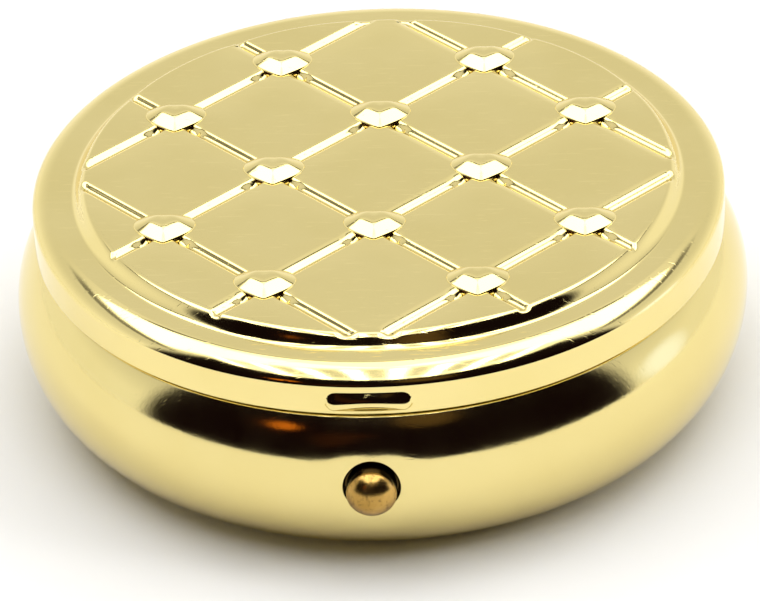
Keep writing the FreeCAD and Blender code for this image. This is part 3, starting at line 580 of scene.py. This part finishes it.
def build_base():
    seg = 720
    verts, faces = [], []

    def push(rows):
        start = len(verts)
        verts.extend(rows)
        return list(range(start, len(verts)))

    theta = np.array([2 * math.pi * k / seg - math.pi / 2 for k in range(seg)])  # k=0 is the front

    def circle(r, z):
        return push([(r * math.cos(t), r * math.sin(t), z) for t in theta])

    rings = []
    for t in range(-90, 0, 5):
        a = math.radians(t)
        rings.append((18.9 + 6.1 * math.cos(a), 7.25 + 7.25 * math.sin(a)))
    zs = []
    rings = [(r, z) for r, z in rings if z < 3.1]
    for z in np.linspace(3.2, 11.72, 48):
        zs.append(float(z))
    top = [(float(belly_r(z)), z) for z in (11.77, 11.81)] + [(23.21, 11.85), (23.16, 11.885), (23.09, 11.90),
                                                             (22.85, 11.90), (22.78, 11.885), (22.75, 11.85)]
    body_rings = rings + [(float(belly_r(z)), z) for z in zs] + top
    first_body = len(rings)
    # the window round the button is left open in the grid and filled by a patch
    half_k = 18
    lo_i = min(range(len(zs)), key=lambda i: abs(zs[i] - 3.6))
    hi_i = min(range(len(zs)), key=lambda i: abs(zs[i] - 10.9))
    loops = [circle(r, z) for r, z in body_rings]
    for i, (a, b) in enumerate(zip(loops, loops[1:])):
        inside = first_body + lo_i <= i < first_body + hi_i
        for k in range(seg):
            kk = k if k < seg / 2 else k - seg
            if inside and -half_k <= kk < half_k:
                continue
            faces.append((a[k], a[(k + 1) % seg], b[(k + 1) % seg], b[k]))
    # boundary of the window, walked once round
    row_lo, row_hi = loops[first_body + lo_i], loops[first_body + hi_i]
    border = [row_lo[k % seg] for k in range(-half_k, half_k)]
    border += [loops[first_body + i][half_k] for i in range(lo_i, hi_i)]
    border += [row_hi[k % seg] for k in range(half_k, -half_k, -1)]
    border += [loops[first_body + i][-half_k % seg] for i in range(hi_i, lo_i, -1)]
    zc = 7.25
    bp = np.array([verts[i] for i in border])
    ang = np.arctan2(bp[:, 2] - zc, bp[:, 0])

    def lift(rho):
        """The metal is drawn in a little round the hole."""
        return -0.12 * np.exp(-((rho - 1.8) / 1.3) ** 2)

    def place(x, z, extra):
        r = belly_r(z) + extra
        return -np.sqrt(np.maximum(r ** 2 - x ** 2, 0.0))

    prev = border
    fr = [0.985, 0.93, 0.85, 0.75, 0.65, 0.55, 0.46, 0.38, 0.31, 0.25, 0.20, 0.155, 0.12, 0.09,
          0.065, 0.042, 0.02, 0.0]
    r_out = np.hypot(bp[:, 0], bp[:, 2] - zc)
    for f in fr:
        rho = 1.96 + (r_out - 1.96) * f
        x, z = rho * np.cos(ang), zc + rho * np.sin(ang)
        yv = place(x, z, lift(rho) * min(1.0, (1 - f) * 6))
        cur = push([(float(p), float(s), float(w)) for p, s, w in zip(x, yv, z)])
        faces.extend(bridge(prev, cur))
        prev = cur
    edge_y = place(1.96 * np.cos(ang), zc + 1.96 * np.sin(ang), lift(1.96))
    lip = [(1.78 + 0.18 * (1 - math.sin(math.radians(q))), 0.22 * (1 - math.cos(math.radians(q))))
           for q in range(9, 91, 9)]
    for rho, dy in lip + [(1.78, 0.45), (1.80, 0.56), (1.90, 0.62)]:
        cur = push([(float(rho * math.cos(a)), float(min(s + dy, 99)), float(zc + rho * math.sin(a)))
                    for a, s in zip(ang, edge_y)])
        faces.extend(bridge(prev, cur))
        prev = cur
    # underside: foot edge, stamped ring, flat disc
    foot = loops[0]
    for r, z in ((18.6, 0.0), (15.75, 0.0), (15.62, 0.03), (15.55, 0.14), (15.42, 0.20),
                 (15.18, 0.20), (15.05, 0.14), (14.98, 0.03), (14.85, 0.0), (7.0, 0.0), (1.0, 0.0)):
        cur = circle(r, z)
        faces.extend(bridge(foot, cur))
        foot = cur
    c = push([(0.0, 0.0, 0.0)])[0]
    faces.extend([(foot[k], foot[(k + 1) % seg], c) for k in range(seg)])
    # inside face of the neck, down past the tray's top
    inner = loops[-1]
    for r, z in ((22.76, 11.2), (23.3, 10.4), (24.2, 9.0), (24.5, 7.25), (24.2, 5.2), (23.0, 2.8),
                 (21.0, 1.1), (18.9, 0.5), (8.0, 0.5)):
        cur = circle(r, z)
        faces.extend(bridge(inner, cur))
        inner = cur
    c = push([(0.0, 0.0, 0.5)])[0]
    faces.extend([(inner[k], inner[(k + 1) % seg], c) for k in range(seg)])
    ob = add_object("base_pan", verts, faces)
    fix_normals(ob)
    return ob


base = build_base()
dress(base, gold_belly_shaded)
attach(base, "base")
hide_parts("base_shell")

# -------------------------------------------------------------------- button
dome_r = (1.66 ** 2 + 1.03 ** 2) / (2 * 1.03)
profile = [(0.0, 22.30), (0.75, 22.30), (0.86, 22.34), (0.9, 22.42), (0.9, 22.55), (0.6, 22.55),
           (0.6, 23.55), (2.12, 23.55), (2.2, 23.60), (2.2, 23.90), (2.12, 23.95), (1.66, 23.95),
           (1.66, 24.6), (1.66, 25.2), (1.66, 25.50)]
cap = arc(0.0, 26.62 - dome_r, dome_r, math.degrees(math.acos(1.63 / dome_r)), 90, 22)
profile += [(1.652, 25.575)] + cap[:-1] + [(0.0, 26.62)]
button = revolve("button_knob", profile, 96, axis="F", centre=(0, 0, 7.25))
dress(button, bronze)
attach(button, "latch")
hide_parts("push_button")

# -------------------------------------------------------------- hinge spring
yb, zb, cr, reach = 24.2, 12.25, 0.68, 1.5
coil = []
for k in range(6 * 28 + 1):
    t = 2 * math.pi * k / 28.0
    coil.append((-reach + 2 * reach * k / (6 * 28.0), yb + cr * math.sin(t + math.pi),
                 zb - cr * math.cos(t)))
leg = smooth_path([(reach, yb - 0.25, zb - cr + 0.07), (reach, yb - 0.49, zb - 0.49),
                   (reach, yb - 0.66, zb - 0.13), (reach, 21.7, 12.12)], 5)
coil_piece = tube("hinge_coil", np.vstack([np.array(coil), leg]), 0.175)
dress(coil_piece, steel)
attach(coil_piece, "base")
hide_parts("hinge_spring")
lid_leg = tube("hinge_coil_lid_leg", smooth_path([
    (-reach, yb, zb - cr), (-reach, yb - 0.49, zb - 0.49), (-reach, yb - 0.68, zb),
    (-reach, yb - 0.52, zb + 0.46), (-reach, 23.1, 12.97), (-reach, 22.36, 13.35),
    (-reach, 22.3, 13.95)], 6), 0.172)
dress(lid_leg, steel)
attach(lid_leg, "lid")

# --------------------------------------------------------- latch bow spring
arc_c, arc_r = (2.3, -23.53 + 5.465), 5.465


def bow_half(name, side):
    """Half of the flat bow spring, from the button's shank to its free tip."""
    centre = [(0.0, -23.53 + 0.125), (1.2, -23.53 + 0.125), (2.3, -23.53 + 0.125)]
    for k in range(1, 17):
        a = math.radians(61.66) * k / 16
        centre.append((arc_c[0] + (arc_r - 0.125) * math.sin(a),
                       arc_c[1] - (arc_r - 0.125) * math.cos(a)))
    verts, rings = [], []
    for i, (x, y) in enumerate(centre):
        nx, ny = (0.0, -1.0) if i < 3 else (math.sin(math.radians(61.66) * (i - 2) / 16),
                                            -math.cos(math.radians(61.66) * (i - 2) / 16))
        narrow = 0.0 if i < len(centre) - 3 else 0.12 * (i - len(centre) + 4)
        ring = []
        for off, z in ((0.125, 5.75 + narrow + 0.04), (0.125, 8.75 - narrow - 0.04),
                       (0.08, 8.75 - narrow), (-0.08, 8.75 - narrow),
                       (-0.125, 8.75 - narrow - 0.04), (-0.125, 5.75 + narrow + 0.04),
                       (-0.08, 5.75 + narrow), (0.08, 5.75 + narrow)):
            ring.append(len(verts))
            verts.append((side * (x + nx * off), y + ny * off, z))
        rings.append(ring)
    faces = []
    for a, b in zip(rings, rings[1:]):
        faces += bridge(a, b)
    faces.append(tuple(rings[0]))
    faces.append(tuple(rings[-1]))
    ob = add_object(name, verts, faces)
    fix_normals(ob)
    dress(ob, steel)
    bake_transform(ob)
    return ob


bow_r = bow_half("latch_bow_right", 1)
bow_l = bow_half("latch_bow_left", -1)
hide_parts("latch_bow_spring")

# ------------------------------------------------------- CAD nodes that stay
finish_of = {
    "collar_ring": gold_satin, "pill_tray": tray_mat, "base_hinge_plate": gold_satin,
    "base_hinge_rivets": gold_satin, "hinge_pin": steel, "lid_hinge_plate": gold_satin,
    "lid_hinge_rivets": gold_satin, "mirror_pad": foam_mat, "mirror_glass": mirror_mat,
    "mirror_ring": gold_satin, "latch_hook": steel, "latch_washer": steel,
}
for node, material in finish_of.items():
    for ob in [o for o in bpy.data.objects if o.type == "MESH" and o.name == node]:
        ob.data.materials.clear()
        ob.data.materials.append(material)

# --------------------------------------------------------------------- stage
floor_mat = bpy.data.materials.new("floor")
floor_mat.use_nodes = True
_fs = floor_mat.node_tree.nodes["Principled BSDF"]
_fs.inputs["Base Color"].default_value = (0.80, 0.795, 0.78, 1)
_fs.inputs["Roughness"].default_value = 0.9
_fs.inputs["Specular IOR Level"].default_value = 0.1
floor = revolve("floor", [(0.0, 0.0), (30.0, 0.0), (90.0, 0.0), (420.0, 0.0)], 64)
dress(floor, floor_mat)

# -------------------------------------------------------------------- camera
AZ = 0.0540
e, roll, dist, focal = 0.5729, -0.0470, 0.44645, 6519.14
fwd = Vector((0.0, math.cos(e), -math.sin(e)))
right0, up0 = Vector((1.0, 0.0, 0.0)), Vector((0.0, math.sin(e), math.cos(e)))
r2 = math.cos(roll) * right0 + math.sin(roll) * up0
u2 = -math.sin(roll) * right0 + math.cos(roll) * up0
new_fwd = (fwd - 0.000227 * r2 - 0.006266 * u2).normalized()
new_right = (r2 - new_fwd * r2.dot(new_fwd)).normalized()
new_up = new_right.cross(new_fwd)
place = Vector((0.0, -dist * math.cos(e), dist * math.sin(e) + 0.009))
ca, sa = math.cos(AZ), math.sin(AZ)


def swing(v):
    return Vector((v.x * ca - v.y * sa, v.x * sa + v.y * ca, v.z))


new_right, new_up, new_fwd, place = (swing(v) for v in (new_right, new_up, new_fwd, place))
camera_data = bpy.data.cameras.new("camera")
camera_data.sensor_fit = "HORIZONTAL"
camera_data.sensor_width = 36.0
camera_data.lens = focal / 760.0 * 36.0
camera_data.clip_start = 0.01
camera_data.clip_end = 20.0
camera = bpy.data.objects.new("camera", camera_data)
scene.collection.objects.link(camera)
from mathutils import Matrix

camera.matrix_world = Matrix((
    (new_right.x, new_up.x, -new_fwd.x, place.x),
    (new_right.y, new_up.y, -new_fwd.y, place.y),
    (new_right.z, new_up.z, -new_fwd.z, place.z),
    (0, 0, 0, 1)))
scene.camera = camera

# --------------------------------------------------------------------- light
# A light tent: white all round and overhead, with the dark room showing
# through its open side, and a thin dark seam under the overhead panel.
world = bpy.data.worlds.new("tent")
scene.world = world
world.use_nodes = True
wt = world.node_tree
for node in list(wt.nodes):
    wt.nodes.remove(node)
w = Nodes(wt)
coord = w.new("ShaderNodeTexCoord")
split = w.new("ShaderNodeSeparateXYZ")
w.link(coord.outputs["Generated"], split.inputs["Vector"])
dx, dy, dz = split.outputs
open_dir = swing(Vector((0.0, -1.0, 0.0)))
flat_len = w.math("SQRT", w.math("MAXIMUM", w.math("ADD", w.math("MULTIPLY", dx, dx),
                                                   w.math("MULTIPLY", dy, dy)), 1e-6))
toward = w.math("DIVIDE", w.math("ADD", w.math("MULTIPLY", dx, open_dir.x),
                                 w.math("MULTIPLY", dy, open_dir.y)), flat_len)
sideways = w.math("DIVIDE", w.math("SUBTRACT", w.math("MULTIPLY", dy, open_dir.x),
                                   w.math("MULTIPLY", dx, open_dir.y)), flat_len)
# walls, darkest at a third of the way up
wall = w.ramp(dz, 0.22, 0.52, 1.06, 0.80, smooth=False)
wall = w.math("ADD", wall, w.ramp(dz, 0.58, 0.72, 0.0, 0.15))
# seam below the overhead panel, at the back
seam = w.math("MULTIPLY", w.ramp(dz, 0.772, 0.788), w.ramp(dz, 0.838, 0.822))
seam = w.math("MULTIPLY", seam, w.ramp(toward, 0.2, -0.2))
wall = w.math("MULTIPLY", wall, w.math("SUBTRACT", 1.0, w.math("MULTIPLY", seam, 0.80)))
# overhead panel; blocks of lamps reach lower along its edge on the open side
across = w.math("SUBTRACT", w.math("MULTIPLY", dy, open_dir.x), w.math("MULTIPLY", dx, open_dir.y))
blocks = w.math("SINE", w.math("MULTIPLY", across, 2 * math.pi / 0.14))
blocks = w.ramp(blocks, 0.05, 0.45)
blocks = w.math("MULTIPLY", blocks, w.ramp(w.math("ABSOLUTE", across), 0.57, 0.53))
flank = w.math("MULTIPLY", w.ramp(w.math("ABSOLUTE", sideways), 0.50, 0.78),
               w.ramp(toward, 0.25, 0.05))
side_lift = w.math("MULTIPLY", flank, 0.20)
edge = w.math("MULTIPLY", w.ramp(dz, 0.590, 0.605), w.ramp(dz, 0.660, 0.645))
edge = w.math("MULTIPLY", w.math("MULTIPLY", edge, flank), 0.75)
wall = w.math("MULTIPLY", wall, w.math("SUBTRACT", 1.0, edge))
lifted = w.math("MULTIPLY", w.math("MULTIPLY", blocks, 0.070), w.ramp(toward, 0.10, 0.30))
lifted = w.math("ADD", w.math("ADD", dz, lifted), side_lift)
panel = w.ramp(lifted, 0.872, 0.884)
between = w.math("MULTIPLY", w.ramp(toward, 0.05, 0.30), w.ramp(dz, 0.76, 0.80))
wall = w.math("ADD", wall, w.math("MULTIPLY", between, 0.25))
wall = w.math("ADD", wall, w.ramp(dz, 0.80, 0.87, 0.0, 0.45))
light = w.math("ADD", w.math("MULTIPLY", wall, w.math("SUBTRACT", 1.0, panel)),
               w.math("MULTIPLY", panel, w.math("ADD", 2.1, flank)))
fore = w.math("MULTIPLY", toward, flat_len)
near_edge = w.math("MULTIPLY", w.ramp(fore, 0.02, 0.14), panel)
lamps = w.math("SUBTRACT", w.math("MULTIPLY", blocks, 3.9), 1.25)
light = w.math("ADD", light, w.math("MULTIPLY", near_edge, lamps))
# the open, dark side
dark = w.math("MULTIPLY", w.ramp(toward, 0.17, 0.30),
              w.ramp(w.math("ADD", dz, side_lift), 0.812, 0.792))
light = w.math("MULTIPLY", light, w.math("SUBTRACT", 1.0, dark))


def glow(direction, width):
    """A faint patch of light in the dark room, round one direction."""
    d = Vector(direction).normalized()
    dot = w.math("ADD", w.math("ADD", w.math("MULTIPLY", dx, d.x), w.math("MULTIPLY", dy, d.y)),
                 w.math("MULTIPLY", dz, d.z))
    return w.math("MULTIPLY", w.ramp(dot, math.cos(math.radians(width)), 1.0), dark)


def tinted(factor, colour):
    node = w.new("ShaderNodeMix", data_type="RGBA")
    w.link(factor, node.inputs["Factor"])
    node.inputs["A"].default_value = (0, 0, 0, 1)
    node.inputs["B"].default_value = (*colour, 1)
    return node.outputs["Result"]


def plus(a, b):
    node = w.new("ShaderNodeVectorMath", operation="ADD")
    w.link(a, node.inputs[0])
    w.link(b, node.inputs[1])
    return node.outputs["Vector"]


white = w.new("ShaderNodeCombineXYZ")
for socket in white.inputs:
    w.link(light, socket)
total = plus(white.outputs["Vector"], tinted(dark, (0.0060, 0.0025, 0.0035)))
total = plus(total, tinted(glow((-0.44, -0.72, 0.537), 5.5), (0.70, 0.19, 0.015)))
total = plus(total, tinted(glow((0.205, -0.70, 0.68), 11.0), (0.085, 0.052, 0.018)))
total = plus(total, tinted(glow((-0.18, -0.90, 0.38), 12.0), (0.020, 0.006, 0.001)))
spot = Vector((0.99, 0.083, 0.11)).normalized()
spot_dot = w.math("ADD", w.math("ADD", w.math("MULTIPLY", dx, spot.x),
                                w.math("MULTIPLY", dy, spot.y)), w.math("MULTIPLY", dz, spot.z))
total = plus(total, tinted(w.ramp(spot_dot, math.cos(math.radians(13.0)), 0.998), (0.22, 0.34, 0.85)))
background = w.new("ShaderNodeBackground")
background.inputs["Strength"].default_value = 1.0
w.link(total, background.inputs["Color"])
backdrop = w.new("ShaderNodeBackground")
backdrop.inputs["Color"].default_value = (1.0, 1.0, 1.0, 1)
backdrop.inputs["Strength"].default_value = 1.0
path = w.new("ShaderNodeLightPath")
mixer = w.new("ShaderNodeMixShader")
w.link(path.outputs["Is Camera Ray"], mixer.inputs["Fac"])
w.link(background.outputs["Background"], mixer.inputs[1])
w.link(backdrop.outputs["Background"], mixer.inputs[2])
out = w.new("ShaderNodeOutputWorld")
w.link(mixer.outputs["Shader"], out.inputs["Surface"])

lamp_data = bpy.data.lights.new("side_lamp", "AREA")
lamp_data.shape = "RECTANGLE"
lamp_data.size, lamp_data.size_y = 0.10, 0.16
lamp_data.energy = 0.35
lamp = bpy.data.objects.new("side_lamp", lamp_data)
lamp.visible_glossy = False
scene.collection.objects.link(lamp)
lamp.location = (0.36, -0.10, 0.28)
lamp.rotation_euler = (Vector((0, 0, 0.01)) - Vector(lamp.location)).to_track_quat("-Z", "Y").to_euler()

scene.view_settings.view_transform = "Standard"
scene.view_settings.look = "None"
scene.view_settings.exposure = 0.0
scene.view_settings.gamma = 1.0
